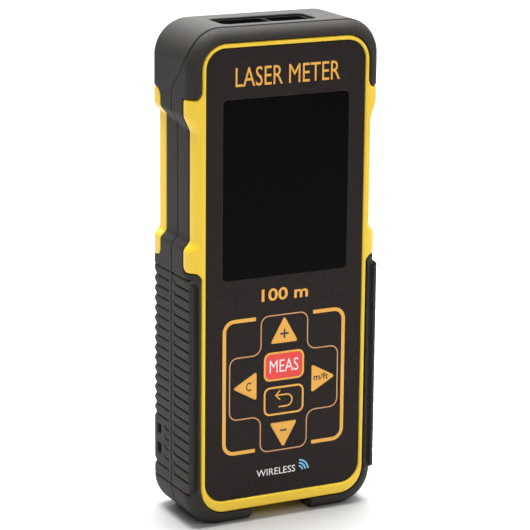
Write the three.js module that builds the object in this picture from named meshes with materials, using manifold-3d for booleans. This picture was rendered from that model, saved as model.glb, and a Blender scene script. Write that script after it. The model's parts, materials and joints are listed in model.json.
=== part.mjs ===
// Pocket laser distance meter: a two-part housing under a two-part rubber jacket, a flush front
// panel with six keys, sighting optics at the top end, two cells behind a hinged door at the back
// and a flip-out end piece at the foot. Millimetres. X is across the front, -Y is the front, +Z is
// up; the origin is the middle of the footprint at the level of the rubber feet.
import * as THREE from 'three';
import { mergeVertices } from 'three/addons/utils/BufferGeometryUtils.js';
import Module from 'manifold-3d';

const wasm = await Module();
wasm.setup();

// ---------------------------------------------------------------- driving dimensions
const W = 58.2, D = 26.5, H = 140.2;        // overall width, depth and height
const CORNER_R = 10, EDGE_R = 4;            // corner of the outline, rounding of front and back edges
const GAP = 0.3;                            // clearance between separate pieces
const RUBBER_T = 2.0, WALL_T = 1.8;         // rubber jacket and housing wall thickness
const WAIST = { depth: 1.9, low: 79.6, lowIn: 81.7, highIn: 113.2, high: 116.5 };
const PART_Y = -1.15;                       // plane where the two halves meet
const FRONT = -D / 2, BACK = D / 2;

const BEZEL = { half: 25.4, low: 3.9, high: 136.0, r: 7.2 };
const LAND = { low: 73.4, high: 120.95, back: -8.5, fillet: 2.3 };    // yellow sides, front half
const EAR = { low: 74.45, high: 121.65, front: 6.55, r: 2.6 };        // yellow band, back half
const PANEL = { half: 24.0, low: 7.3, high: 134.5, r: 5.5, face: -12.95, t: 0.5 };
const PLATE_BACK = -10.8;                   // inner face of the front plate
const SCREEN = { half: 19.1, low: 70.6, high: 120.5, r: 1.2, back: -11.2 };

const KEY = { travel: 0.5, flange: 0.55, flangeY: -10.5, flangeT: 0.8, tipY: -9.1 };
const KEYPAD = { z: 39.5, arrow: 4.5, boxHalf: 6.3, boxHigh: 4.2, boxR: 2.0 };

const GRIP = { first: 13.55, pitch: 2.9, count: 20, width: 0.5, depth: 0.55, top: 71.45, foot: 9.85 };
const NOTCH = { half: 9.9, top: 3.95, slant: 0.6 };
const APERTURE = { x0: -16.3, x1: 12.3, y0: -7.05, y1: 3.55, r: 2.5, floor: 134.3 };
const RECEIVER = { x: -7.6, y: -1.75, r: 4.9 };
const LASER = { x: 6.4, y: -1.75, r: 3.1 };

const CELL = { r: 5.25, x: 6.0, y: 5.4, body: 43.7, nub: 0.8 };
const BAY = { half: 12.4, floor: 0.0, low: 24.6, high: 73.8, wall: 1.6 };
const DOOR = { half: 16.9, low: 25.65, high: 72.9, t: 2.0, pinY: 12.05, pinZ: 26.9, pinR: 0.6 };
const ENDP = { half: 9.2, top: 22.8, t: 3.6, pinY: 11.2, pinZ: 3.5, pinR: 0.8, barrel: 1.8 };
const PIN_PLAY = 0.08;                      // running clearance round a hinge pin, on the radius
const SCREW = { x: 21.6, low: 13.2, high: 127.4, headR: 1.9, shankR: 0.95, bossR: 2.5 };
const STRAP = { y0: 5.95, y1: 8.35, lowZ: [16.65, 19.8], highZ: [22.55, 25.35] };

// ---------------------------------------------------------------- solids
const ARC = 4;                              // segments in each rounded corner

function solid(geometry) {
  const bare = new THREE.BufferGeometry();
  bare.setAttribute('position', geometry.getAttribute('position').clone());
  if (geometry.index) bare.setIndex(geometry.index.clone());
  const merged = mergeVertices(bare, 1e-4);
  return new wasm.Manifold(new wasm.Mesh({
    numProp: 3,
    vertProperties: new Float32Array(merged.getAttribute('position').array),
    triVerts: new Uint32Array(merged.index.array),
  }));
}
const join = (first, ...rest) => rest.reduce((a, b) => a.add(b), first);
const cut = (first, ...rest) => rest.reduce((a, b) => a.subtract(b), first);
const common = (a, b) => a.intersect(b);

function box(x0, x1, y0, y1, z0, z1) {
  const g = new THREE.BoxGeometry(x1 - x0, y1 - y0, z1 - z0);
  g.translate((x0 + x1) / 2, (y0 + y1) / 2, (z0 + z1) / 2);
  return solid(g);
}

function extruded(shape, length, curveSegments = ARC) {
  return new THREE.ExtrudeGeometry(shape, { depth: length, bevelEnabled: false, curveSegments });
}

// An outline drawn as (x, z), standing between two depths.
function slab(shape, y0, y1, curveSegments = ARC) {
  const g = extruded(shape, y1 - y0, curveSegments);
  g.rotateX(Math.PI / 2);
  g.translate(0, y1, 0);
  return solid(g);
}

// An outline drawn as (y, z), running across the width.
function across(shape, x0, x1, curveSegments = ARC) {
  const g = extruded(shape, x1 - x0, curveSegments);
  g.applyMatrix4(new THREE.Matrix4().set(0, 0, 1, x0, 1, 0, 0, 0, 0, 1, 0, 0, 0, 0, 0, 1));
  return solid(g);
}

// An outline drawn as (x, y), standing between two heights.
function upright(shape, z0, z1, curveSegments = ARC) {
  const g = extruded(shape, z1 - z0, curveSegments);
  g.translate(0, 0, z0);
  return solid(g);
}

function rod(axis, radius, from, to, a, b, segments = 16) {
  const g = new THREE.CylinderGeometry(radius, radius, to - from, segments);
  const mid = (from + to) / 2;
  if (axis === 'x') g.rotateZ(Math.PI / 2).translate(mid, a, b);
  if (axis === 'y') g.translate(a, mid, b);
  if (axis === 'z') g.rotateX(Math.PI / 2).translate(a, b, mid);
  return solid(g);
}

function roundedRect(x0, x1, z0, z1, r, rTop = r) {
  const s = new THREE.Shape();
  s.moveTo(x0 + r, z0);
  s.lineTo(x1 - r, z0);
  s.absarc(x1 - r, z0 + r, r, -Math.PI / 2, 0, false);
  s.lineTo(x1, z1 - rTop);
  s.absarc(x1 - rTop, z1 - rTop, rTop, 0, Math.PI / 2, false);
  s.lineTo(x0 + rTop, z1);
  s.absarc(x0 + rTop, z1 - rTop, rTop, Math.PI / 2, Math.PI, false);
  s.lineTo(x0, z0 + r);
  s.absarc(x0 + r, z0 + r, r, Math.PI, Math.PI * 1.5, false);
  return s;
}

function polygon(points) {
  return new THREE.Shape(points.map(([a, b]) => new THREE.Vector2(a, b)));
}

// A triangle pointing along a heading, its corners rounded and its sides grown outward.
function arrowShape(cx, cz, heading, grow) {
  const s = new THREE.Shape();
  const corners = [0, 1, 2].map((i) => heading + (i * 2 * Math.PI) / 3);
  const round = 0.45 + grow;
  corners.forEach((a, i) => {
    const x = cx + Math.cos(a) * (KEYPAD.arrow - 0.55), z = cz + Math.sin(a) * (KEYPAD.arrow - 0.55);
    if (i === 0) s.moveTo(x + Math.cos(a - Math.PI / 3) * round, z + Math.sin(a - Math.PI / 3) * round);
    s.absarc(x, z, round, a - Math.PI / 3, a + Math.PI / 3, false);
  });
  return s;
}

// The whole outside shape, or the same shape set in from every face.
function envelope(inset) {
  const half = W / 2 - inset, waist = half - WAIST.depth, r = CORNER_R - inset;
  const z0 = inset, z1 = H - inset;
  const s = new THREE.Shape();
  s.moveTo(-half + r, z0);
  s.lineTo(half - r, z0);
  s.absarc(half - r, z0 + r, r, -Math.PI / 2, 0, false);
  s.lineTo(half, WAIST.low);
  s.lineTo(waist, WAIST.lowIn);
  s.lineTo(waist, WAIST.highIn);
  s.lineTo(half, WAIST.high);
  s.lineTo(half, z1 - r);
  s.absarc(half - r, z1 - r, r, 0, Math.PI / 2, false);
  s.lineTo(-half + r, z1);
  s.absarc(-half + r, z1 - r, r, Math.PI / 2, Math.PI, false);
  s.lineTo(-half, WAIST.high);
  s.lineTo(-waist, WAIST.highIn);
  s.lineTo(-waist, WAIST.lowIn);
  s.lineTo(-half, WAIST.low);
  s.lineTo(-half, z0 + r);
  s.absarc(-half + r, z0 + r, r, Math.PI, Math.PI * 1.5, false);
  const b = Math.max(EDGE_R - inset, 0.8);
  const g = new THREE.ExtrudeGeometry(s, {
    depth: D - 2 * inset - 2 * b, bevelThickness: b, bevelSize: b, bevelOffset: -b,
    bevelSegments: inset > 1 ? 1 : 3, curveSegments: ARC,
  });
  g.rotateX(Math.PI / 2);
  g.translate(0, BACK - inset - b, 0);
  return solid(g);
}

// ---------------------------------------------------------------- shared regions
const outer = envelope(0);
const underRubber = envelope(RUBBER_T);
const housingSkin = envelope(RUBBER_T + GAP);
const hollow = envelope(RUBBER_T + GAP + WALL_T);

// Front yellow region: the bezel with a land reaching out to each side between the rubber caps.
function frontYellow(grow) {
  const b = BEZEL.half + grow, low = LAND.low - grow, high = LAND.high + grow, f = LAND.fillet;
  const r = BEZEL.r + grow, z0 = BEZEL.low - grow, z1 = BEZEL.high + grow, far = W / 2 + 1;
  const s = new THREE.Shape();
  s.moveTo(-b + r, z0);
  s.lineTo(b - r, z0);
  s.absarc(b - r, z0 + r, r, -Math.PI / 2, 0, false);
  s.lineTo(b, low - f);
  s.absarc(b + f, low - f, f, Math.PI, Math.PI / 2, true);
  s.lineTo(far, low);
  s.lineTo(far, high);
  s.lineTo(b + f, high);
  s.absarc(b + f, high + f, f, -Math.PI / 2, -Math.PI, true);
  s.lineTo(b, z1 - r);
  s.absarc(b - r, z1 - r, r, 0, Math.PI / 2, false);
  s.lineTo(-b + r, z1);
  s.absarc(-b + r, z1 - r, r, Math.PI / 2, Math.PI, false);
  s.lineTo(-b, high + f);
  s.absarc(-b - f, high + f, f, 0, -Math.PI / 2, true);
  s.lineTo(-far, high);
  s.lineTo(-far, low);
  s.lineTo(-b - f, low);
  s.absarc(-b - f, low - f, f, Math.PI / 2, 0, true);
  s.lineTo(-b, z0 + r);
  s.absarc(-b + r, z0 + r, r, Math.PI, Math.PI * 1.5, false);
  return slab(s, FRONT - 1, LAND.back + grow, 3);
}

// Back yellow region: a band right across the back, rounded where it runs out on the sides.
function backYellow(grow) {
  const s = new THREE.Shape(), y = EAR.front - grow, r = EAR.r;
  const low = EAR.low - grow, high = EAR.high + grow;
  s.moveTo(y + r, low);
  s.lineTo(BACK + 1, low);
  s.lineTo(BACK + 1, high);
  s.lineTo(y + r, high);
  s.absarc(y + r, high - r, r, Math.PI / 2, Math.PI, false);
  s.lineTo(y, low + r);
  s.absarc(y + r, low + r, r, Math.PI, Math.PI * 1.5, false);
  return across(s, -W / 2 - 1, W / 2 + 1, 3);
}

// Everything in front of the joint line between the two rubber pieces. The line drops from the
// front of the top face, sweeps back round the shoulder and then runs straight down the sides.
function frontOfJoint(shift) {
  const p = PART_Y + shift;
  return across(polygon([
    [FRONT - 2, -2], [p, -2], [p, 123.2], [-7.75 + shift, 129.2],
    [-10.6 + shift, 134.0], [-10.3 + shift, H + 2], [FRONT - 2, H + 2],
  ]), -W / 2 - 2, W / 2 + 2);
}

const notch = slab(polygon([
  [-NOTCH.half, -1], [NOTCH.half, -1],
  [NOTCH.half - NOTCH.slant, NOTCH.top], [-NOTCH.half + NOTCH.slant, NOTCH.top],
]), FRONT - 1, BACK + 1);

const apertureShape = (grow) => roundedRect(
  APERTURE.x0 - grow, APERTURE.x1 + grow, APERTURE.y0 - grow, APERTURE.y1 + grow, APERTURE.r);

const screwSpots = [-1, 1].flatMap((sx) => [SCREW.low, SCREW.high].map((z) => [sx * SCREW.x, z]));

// ---------------------------------------------------------------- keys
const arrowZ = 14.0, arrowX = 11.3;
const keys = [
  { name: 'key_measure', shape: (g) => keyBox(4.8, g), at: [0, KEYPAD.z + 4.8] },
  { name: 'key_back', shape: (g) => keyBox(-5.25, g), at: [0, KEYPAD.z - 5.25] },
  { name: 'key_plus', shape: (g) => arrowShape(0, KEYPAD.z + arrowZ, Math.PI / 2, g),
    at: [0, KEYPAD.z + arrowZ] },
  { name: 'key_minus', shape: (g) => arrowShape(0, KEYPAD.z - arrowZ, -Math.PI / 2, g),
    at: [0, KEYPAD.z - arrowZ] },
  { name: 'key_clear', shape: (g) => arrowShape(-arrowX, KEYPAD.z, Math.PI, g), at: [-arrowX, KEYPAD.z] },
  { name: 'key_unit', shape: (g) => arrowShape(arrowX, KEYPAD.z, 0, g), at: [arrowX, KEYPAD.z] },
];
function keyBox(dz, grow) {
  const z = KEYPAD.z + dz, h = KEYPAD.boxHalf + grow, v = KEYPAD.boxHigh + grow;
  return roundedRect(-h, h, z - v, z + v, KEYPAD.boxR + grow);
}
function keySolid(key) {
  const flangeBack = KEY.flangeY + KEY.flangeT;
  return join(
    slab(key.shape(0), PANEL.face, KEY.flangeY + 0.1, 2),
    slab(key.shape(KEY.flange), KEY.flangeY, flangeBack, 2),
    rod('y', 1.4, flangeBack - 0.1, KEY.tipY, key.at[0], key.at[1], 10),
  );
}

// ---------------------------------------------------------------- housing
function frontHousing() {
  let s = join(housingSkin, common(outer, frontYellow(0)));
  s = cut(s, hollow, box(-22.4, 22.4, PLATE_BACK, -8, 8.5, 133.0));
  s = join(s, box(-13, 13, -9.6, -2, NOTCH.top - 0.5, 6.2));
  s = common(s, box(-W, W, FRONT - 1, PART_Y - 0.15, -1, H + 1));
  s = cut(s,
    slab(roundedRect(-PANEL.half - GAP, PANEL.half + GAP, PANEL.low - GAP, PANEL.high + GAP,
      PANEL.r + GAP), FRONT - 1, PANEL.face + PANEL.t + GAP),
    slab(roundedRect(-SCREEN.half - GAP, SCREEN.half + GAP, SCREEN.low - GAP, SCREEN.high + GAP,
      SCREEN.r), FRONT, -9, 3),
    upright(apertureShape(0), APERTURE.floor - 2.6, H + 1, 3),
    notch);
  for (const key of keys) s = cut(s, slab(key.shape(GAP), FRONT, -9, 2));
  for (const [x, z] of screwSpots) {
    s = join(s, rod('y', SCREW.bossR, PLATE_BACK - 0.2, PART_Y - 0.15, x, z, 12));
    s = cut(s, rod('y', SCREW.shankR + 0.1, -7.5, 0, x, z, 10));
  }
  return s;
}

function rearHousing() {
  const pocket = box(-9.6, 9.6, 8.9, BACK + 1, -1, ENDP.top + 0.4);
  const bayOuter = BAY.half + BAY.wall;
  const lugs = [-1, 1].map((side) => {
    const a = side * (DOOR.half + GAP), b = side * (DOOR.half + 2.3);
    return box(Math.min(a, b), Math.max(a, b), 10, 12.9, DOOR.low - 0.25, DOOR.low + 2.7);
  });
  let s = cut(join(housingSkin, common(outer, backYellow(0))), hollow);
  s = join(s,
    common(outer, box(-11.6, 11.6, 5.5, BACK, 1.2, 24.9)),
    box(-13, 13, 0, 8.8, NOTCH.top - 0.5, 6.2),
    box(-bayOuter, bayOuter, PART_Y + 0.45, 10.9, BAY.low - BAY.wall, BAY.high + BAY.wall),
    ...lugs);
  s = common(s, box(-W, W, PART_Y + 0.45, BACK + 1, -1, H + 1));
  for (const [x, z] of screwSpots) {
    s = join(s, rod('y', SCREW.bossR, PART_Y + 0.45, 10, x, z, 12));
    s = cut(s, rod('y', SCREW.shankR + 0.3, PART_Y, BACK, x, z, 10));
  }
  return cut(s,
    box(-BAY.half, BAY.half, BAY.floor, BACK + 1, BAY.low, BAY.high - 1.5),
    box(-BAY.half, BAY.half, BAY.floor, 9.9, BAY.high - 2, BAY.high),
    rod('x', DOOR.pinR + 1.0, -DOOR.half - GAP, DOOR.half + GAP, DOOR.pinY, DOOR.pinZ),
    rod('x', DOOR.pinR + PIN_PLAY, -DOOR.half - 1.9, DOOR.half + 1.9, DOOR.pinY, DOOR.pinZ),
    pocket,
    rod('x', ENDP.pinR + PIN_PLAY, -11.3, 11.3, ENDP.pinY, ENDP.pinZ),
    box(-19.3, 19.3, BACK - 0.75, BACK + 1, 79.7, 112.3),
    upright(apertureShape(0), APERTURE.floor - 2.6, H + 1, 3),
    notch,
    box(-28, -24.6, STRAP.y0 - 0.2, STRAP.y1 + 0.2, STRAP.lowZ[0], STRAP.highZ[1]));
}

// ---------------------------------------------------------------- rubber jacket
function gripGrooves(y0, y1) {
  const cuts = [];
  for (const side of [-1, 1]) {
    const a = side * (W / 2 - GRIP.depth), b = side * (W / 2 + 1);
    const [x0, x1] = [Math.min(a, b), Math.max(a, b)];
    for (let i = 0; i < GRIP.count; i += 1) {
      const z = GRIP.first + i * GRIP.pitch;
      cuts.push(box(x0, x1, y0, y1, z - GRIP.width / 2, z + GRIP.width / 2));
    }
    for (const z of [GRIP.top, GRIP.foot]) {
      cuts.push(box(x0, x1, FRONT - 1, BACK + 1, z - GRIP.width / 2, z + GRIP.width / 2));
    }
  }
  return join(...cuts);
}

function frontRubber() {
  let s = common(cut(outer, underRubber), frontOfJoint(-0.12));
  s = cut(s, frontYellow(GAP), notch, gripGrooves(FRONT - 1, -2.85));
  for (const x of [-26.6, 26.6]) {
    s = cut(s, box(x - 0.35, x + 0.35, FRONT - 1, -12.4, GRIP.foot - 0.2, GRIP.top - 0.9));
  }
  return s;
}

function rearRubber() {
  const lugHalf = DOOR.half + 2.6;
  let s = cut(cut(outer, underRubber), frontOfJoint(0.12));
  s = cut(s, backYellow(GAP), notch, gripGrooves(0.75, BACK + 1),
    slab(roundedRect(-DOOR.half - GAP, DOOR.half + GAP, DOOR.low - GAP, DOOR.high + GAP, 1.5),
      9, BACK + 1, 3),
    box(-lugHalf, lugHalf, 9, BACK + 1, DOOR.low - 0.55, DOOR.low + 3.0),
    box(-11.9, 11.9, 5.2, BACK + 1, -1, DOOR.low),
    upright(apertureShape(0), 136, H + 1, 3));
  for (const z of [STRAP.lowZ, STRAP.highZ]) s = cut(s, box(-W, -25, STRAP.y0, STRAP.y1, ...z));
  for (const [x, z] of screwSpots) s = cut(s, rod('y', SCREW.headR + GAP, 9, BACK + 1, x, z, 12));
  return s;
}

// ---------------------------------------------------------------- front panel and display
function panelOverlay() {
  let s = slab(roundedRect(-PANEL.half, PANEL.half, PANEL.low, PANEL.high, PANEL.r),
    PANEL.face, PANEL.face + PANEL.t);
  s = cut(s, slab(roundedRect(-SCREEN.half - GAP, SCREEN.half + GAP, SCREEN.low - GAP,
    SCREEN.high + GAP, SCREEN.r), FRONT, -12, 3));
  for (const key of keys) s = cut(s, slab(key.shape(GAP), FRONT, -12, 2));
  return s;
}

function displayWindow() {
  return slab(roundedRect(-SCREEN.half, SCREEN.half, SCREEN.low, SCREEN.high, SCREEN.r),
    PANEL.face, SCREEN.back, 3);
}

function domeMat() {
  const base = slab(roundedRect(-17.3, 17.3, 20, 59, 3), -8.0, -7.5, 3);
  const domeTop = KEY.tipY + KEY.travel + 0.1;
  return join(base, ...keys.map((k) => rod('y', 2.0, domeTop, -7.6, k.at[0], k.at[1], 10)));
}

// ---------------------------------------------------------------- optics
function apertureTub() {
  const { x0, x1, y0, y1, r, floor } = APERTURE;
  const shell = upright(roundedRect(x0 + GAP, x1 - GAP, y0 + GAP, y1 - GAP, r - GAP),
    floor - 2.3, H - 0.6, 3);
  const room = (a, b) => upright(roundedRect(a, b, y0 + 1.2, y1 - 1.2, r - 1.2), floor, H + 1, 2);
  return cut(shell, room(x0 + 1.2, -0.9), room(0.1, x1 - 1.2),
    box(-14.6, -1.9, y0 + 1.6, y1 - 1.6, floor - 1.2, H),
    rod('z', RECEIVER.r, floor - 4, H, RECEIVER.x - 0.6, RECEIVER.y, 18).scale([1, 0.8, 1])
      .translate([0, RECEIVER.y * 0.2, 0]),
    rod('z', LASER.r, floor - 1.2, H, LASER.x, LASER.y, 16),
    rod('z', 2.2, floor - 4, H, LASER.x, LASER.y, 14));
}

function opticalChassis() {
  const cavity = (x0, x1) => box(x0, x1, 3.9, 9, 104, 128);
  return cut(box(-17, 14, -7.2, 8.6, 101, 131),
    rod('z', RECEIVER.r + GAP, 104.6, 132, RECEIVER.x, RECEIVER.y, 18),
    rod('z', LASER.r + GAP, 104.6, 132, LASER.x, LASER.y, 16),
    cavity(-15, -9.4), cavity(-7.8, -2.2), cavity(-0.6, 5), cavity(6.6, 12));
}

function receiverLens() {
  const profile = [[0, 0], [RECEIVER.r - 0.3, 0], [RECEIVER.r - 0.3, 1.2], [3.4, 2.4], [1.8, 2.9], [0, 3.1]];
  const g = new THREE.LatheGeometry(profile.map(([r, h]) => new THREE.Vector2(r, h)), 18);
  g.rotateX(Math.PI / 2);
  g.translate(RECEIVER.x, RECEIVER.y, 126);
  return solid(g);
}

function apertureGasket() {
  return cut(box(-15.8, 12.6, -6.6, 3.4, 131.25, 131.75),
    box(-13.6, -1.6, -5.6, 2.1, 131, 132), rod('z', 2.8, 131, 132, LASER.x, LASER.y, 14));
}

// ---------------------------------------------------------------- power
function cell(side) {
  const low = side < 0 ? 28.6 : 25.4;
  const x = side * CELL.x, y = CELL.y;
  const nub = side < 0 ? [low + CELL.body - 0.1, low + CELL.body + CELL.nub] : [low, low + CELL.nub + 0.1];
  const body = side < 0 ? [low, low + CELL.body] : [low + CELL.nub, low + CELL.nub + CELL.body];
  return join(rod('z', CELL.r, ...body, x, y, 20), rod('z', 1.9, ...nub, x, y, 12));
}

function contactSpring(side) {
  const profile = [[0, 0], [3.4, 0], [3.7, 0.3], [3.2, 0.7], [3.4, 1.0], [2.9, 1.4], [3.0, 1.7],
    [2.5, 2.1], [2.6, 2.4], [2.2, 2.8], [0, 2.8]];
  const g = new THREE.LatheGeometry(profile.map(([r, h]) => new THREE.Vector2(r, h)), 12);
  g.rotateX(Math.PI / 2 * (side < 0 ? 1 : -1));
  g.translate(side * CELL.x, CELL.y, side < 0 ? 25.5 : 72.9);
  return solid(g);
}

function batteryDoor() {
  const { half, low, high, pinY, pinZ, pinR } = DOOR;
  const barrel = BACK - pinY;
  const plate = slab(roundedRect(-half, half, pinZ, high, 0.2, 1.4), BACK - DOOR.t, BACK, 3);
  const knuckle = rod('x', barrel, -half, half, pinY, pinZ, 16);
  const ribs = [-11, 0, 11].map((x) => box(x - 0.5, x + 0.5, 10.98, BACK - DOOR.t + 0.2, 40, 60));
  return cut(join(plate, knuckle, ...ribs),
    rod('x', pinR + PIN_PLAY, -half - 1, half + 1, pinY, pinZ, 16),
    slab(roundedRect(-6.3, 6.3, 66.2, 71.9, 1.3), BACK - 1.2, BACK + 1, 3));
}

function doorLatch() {
  const pad = slab(roundedRect(-6.0, 6.0, 66.5, 71.6, 1.0), BACK - 0.9, BACK - 0.35, 3);
  return join(pad, ...[67.6, 68.8, 70.0].map((z) => box(-4.4, 4.4, BACK - 0.5, BACK, z, z + 0.6)));
}

// ---------------------------------------------------------------- end piece
function endPiece() {
  const { half, top, t, pinY, pinZ, pinR, barrel } = ENDP;
  const arm = slab(roundedRect(-half, half, pinZ, top, 0.2, 2.4), pinY - t / 2, pinY + t / 2, 4);
  const knuckle = rod('x', barrel, -half, half, pinY, pinZ, 16);
  return cut(join(arm, knuckle),
    rod('x', pinR + PIN_PLAY, -half - 1, half + 1, pinY, pinZ, 16),
    slab(roundedRect(-6.2, 6.2, 8.0, 18.4, 1.2), pinY + t / 2 - 1.0, BACK + 1, 3),
    rod('x', 0.9, -5, 5, pinY + t / 2, top + 0.2, 16));
}

function screw(x, z) {
  const head = rod('y', SCREW.headR, 11.25, 12.35, x, z, 12);
  const shank = rod('y', SCREW.shankR, -7.2, 11.4, x, z, 10);
  return cut(join(head, shank),
    box(x - 1.1, x + 1.1, 11.8, 13, z - 0.2, z + 0.2),
    box(x - 0.2, x + 0.2, 11.8, 13, z - 1.1, z + 1.1));
}

// ---------------------------------------------------------------- assembly
const finish = {
  yellow: [0xebcb4e, 0.42, 0], rubber: [0x3e3a38, 0.78, 0], panel: [0x2f2a28, 0.5, 0],
  glass: [0x0b0b0c, 0.06, 0], dark: [0x1c1b1b, 0.6, 0], print: [0xf1b249, 0.5, 0],
  red: [0xf2443d, 0.45, 0], board: [0x1e5a3a, 0.6, 0], silicone: [0xb9b6ae, 0.7, 0],
  steel: [0xb8bcc0, 0.3, 1], brass: [0xc29a4e, 0.35, 1], alloy: [0x9a9da0, 0.45, 1],
  lens: [0x5a7a86, 0.05, 0], cell: [0x3a3f46, 0.4, 0], foam: [0x26262a, 0.9, 0],
  label: [0xc9c9c6, 0.5, 0], door: [0x2b2928, 0.6, 0],
};

const meter = new THREE.Group();
meter.name = 'laser_distance_meter';

function add(name, shape, look) {
  const mesh = shape.getMesh();
  const g = new THREE.BufferGeometry();
  g.setAttribute('position', new THREE.BufferAttribute(mesh.vertProperties, 3));
  g.setIndex(new THREE.BufferAttribute(mesh.triVerts, 1));
  const [color, roughness, metalness] = finish[look];
  const flat = g.toNonIndexed();
  flat.computeVertexNormals();
  const part = new THREE.Mesh(flat, new THREE.MeshStandardMaterial({ color, roughness, metalness }));
  part.name = name;
  meter.add(part);
}

add('front_housing', frontHousing(), 'yellow');
add('rear_housing', rearHousing(), 'yellow');
add('front_rubber', frontRubber(), 'rubber');
add('rear_rubber', rearRubber(), 'rubber');
const sealRing = cut(envelope(2.75), envelope(3.7), upright(apertureShape(0), 130, H));
add('housing_seal_left', common(sealRing, box(-W, -0.5, PART_Y, PART_Y + 0.3, 6.5, H)), 'silicone');
add('housing_seal_right', common(sealRing, box(0.5, W, PART_Y, PART_Y + 0.3, 6.5, H)), 'silicone');

add('panel_overlay', panelOverlay(), 'panel');
add('display_window', displayWindow(), 'glass');
add('display_module', box(-20.4, 20.4, -10.5, -7.5, 68.8, 122), 'dark');
const keyLook = { key_measure: 'red', key_back: 'dark' };
for (const key of keys) add(key.name, keySolid(key), keyLook[key.name] ?? 'print');
add('dome_mat', domeMat(), 'silicone');

add('main_board', box(-18.8, 18.8, -7.2, -5.6, 8.5, 99.5), 'board');
add('processor_chip', box(-6, 6, -5.3, -4.1, 84, 96), 'dark');
add('wireless_module', box(-8, 8, -5.3, -3.0, 10, 21), 'alloy');
add('buzzer', rod('y', 4.6, -5.3, -1.9, 12.5, 84, 20), 'dark');

add('aperture_tub', apertureTub(), 'dark');
add('receiver_window', box(-14.3, -2.2, -5.1, 1.6, APERTURE.floor - 0.9, APERTURE.floor - 0.1), 'lens');
add('laser_window', rod('z', 2.8, APERTURE.floor - 0.9, APERTURE.floor - 0.1, LASER.x, LASER.y, 14), 'lens');
add('aperture_gasket', apertureGasket(), 'foam');
add('optical_chassis', opticalChassis(), 'alloy');
add('receiver_lens', receiverLens(), 'lens');
add('receiver_sensor', box(RECEIVER.x - 2.5, RECEIVER.x + 2.5, RECEIVER.y - 2.5, RECEIVER.y + 2.5,
  104.9, 107), 'dark');
add('laser_barrel', rod('z', LASER.r, 112, 129, LASER.x, LASER.y, 16), 'brass');
add('laser_lens', rod('z', 2.6, 129.3, 130.4, LASER.x, LASER.y, 14), 'lens');
add('laser_diode', join(rod('z', 2.8, 104.9, 106.2, LASER.x, LASER.y, 14),
  rod('z', 1.9, 106.1, 111.7, LASER.x, LASER.y, 14)), 'steel');

add('cell_left', cell(-1), 'cell');
add('cell_right', cell(1), 'cell');
add('contact_bar', box(-11, 11, 1.4, 9.0, 24.75, 25.15), 'steel');
add('contact_left', box(-11, -1.2, 1.4, 8.9, 73.25, 73.65), 'steel');
add('contact_right', box(1.2, 11, 1.4, 8.9, 73.25, 73.65), 'steel');
add('contact_spring_left', contactSpring(-1), 'steel');
add('contact_spring_right', contactSpring(1), 'steel');

screwSpots.forEach(([x, z], i) => add(`screw_${i + 1}`, screw(x, z), 'steel'));
add('back_label', slab(roundedRect(-19, 19, 80, 112, 1.2), BACK - 0.45, BACK - 0.1, 3), 'label');

add('battery_door', batteryDoor(), 'door');
add('door_latch', doorLatch(), 'print');
add('door_pin', rod('x', DOOR.pinR, -DOOR.half - 1.7, DOOR.half + 1.7, DOOR.pinY, DOOR.pinZ), 'steel');

add('end_piece', endPiece(), 'alloy');
add('end_pad', slab(roundedRect(-5.9, 5.9, 8.3, 18.1, 0.9),
  ENDP.pinY + ENDP.t / 2 - 0.7, ENDP.pinY + ENDP.t / 2, 3), 'rubber');
add('end_pin', rod('x', ENDP.pinR, -11.1, 11.1, ENDP.pinY, ENDP.pinZ), 'steel');

export default meter;
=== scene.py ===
"""Looks for the laser distance meter: fine shells, panel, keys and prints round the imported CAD."""

import json
import math

import bpy
import numpy as np
from mathutils import Matrix, Vector
from mathutils.geometry import delaunay_2d_cdt


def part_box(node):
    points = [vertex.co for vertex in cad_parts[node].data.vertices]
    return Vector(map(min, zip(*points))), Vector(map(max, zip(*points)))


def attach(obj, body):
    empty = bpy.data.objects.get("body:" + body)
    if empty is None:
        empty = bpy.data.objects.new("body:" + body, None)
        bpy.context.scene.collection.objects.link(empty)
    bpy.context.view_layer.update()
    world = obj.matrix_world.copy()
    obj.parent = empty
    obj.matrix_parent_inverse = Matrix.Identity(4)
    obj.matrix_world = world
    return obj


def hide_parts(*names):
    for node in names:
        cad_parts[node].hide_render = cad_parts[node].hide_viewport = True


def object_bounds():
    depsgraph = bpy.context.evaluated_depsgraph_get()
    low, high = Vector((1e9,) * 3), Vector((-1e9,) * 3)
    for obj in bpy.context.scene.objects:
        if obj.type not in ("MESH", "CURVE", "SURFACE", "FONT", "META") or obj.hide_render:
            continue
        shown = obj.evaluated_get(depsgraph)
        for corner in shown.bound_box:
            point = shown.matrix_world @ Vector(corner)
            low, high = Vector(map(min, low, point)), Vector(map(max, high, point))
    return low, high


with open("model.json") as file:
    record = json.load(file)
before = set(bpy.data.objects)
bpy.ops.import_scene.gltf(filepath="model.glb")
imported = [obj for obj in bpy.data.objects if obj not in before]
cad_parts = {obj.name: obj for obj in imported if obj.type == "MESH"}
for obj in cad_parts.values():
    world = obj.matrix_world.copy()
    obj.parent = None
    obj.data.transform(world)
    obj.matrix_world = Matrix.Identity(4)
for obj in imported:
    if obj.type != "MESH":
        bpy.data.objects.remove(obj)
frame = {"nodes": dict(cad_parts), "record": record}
CAD_LOW, CAD_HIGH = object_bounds()
NODES = frame["nodes"]
MM = 0.001


# ---------------------------------------------------------------- materials
def linear(red, green, blue):
    """An sRGB colour, 0 to 255, as the linear colour that shaders take."""
    def channel(value):
        value = value / 255
        return value / 12.92 if value <= 0.04045 else ((value + 0.055) / 1.055) ** 2.4
    return (channel(red), channel(green), channel(blue), 1.0)


def scaled(colour, factor):
    return tuple(min(c * factor, 1.0) for c in colour[:3]) + (1.0,)


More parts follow.
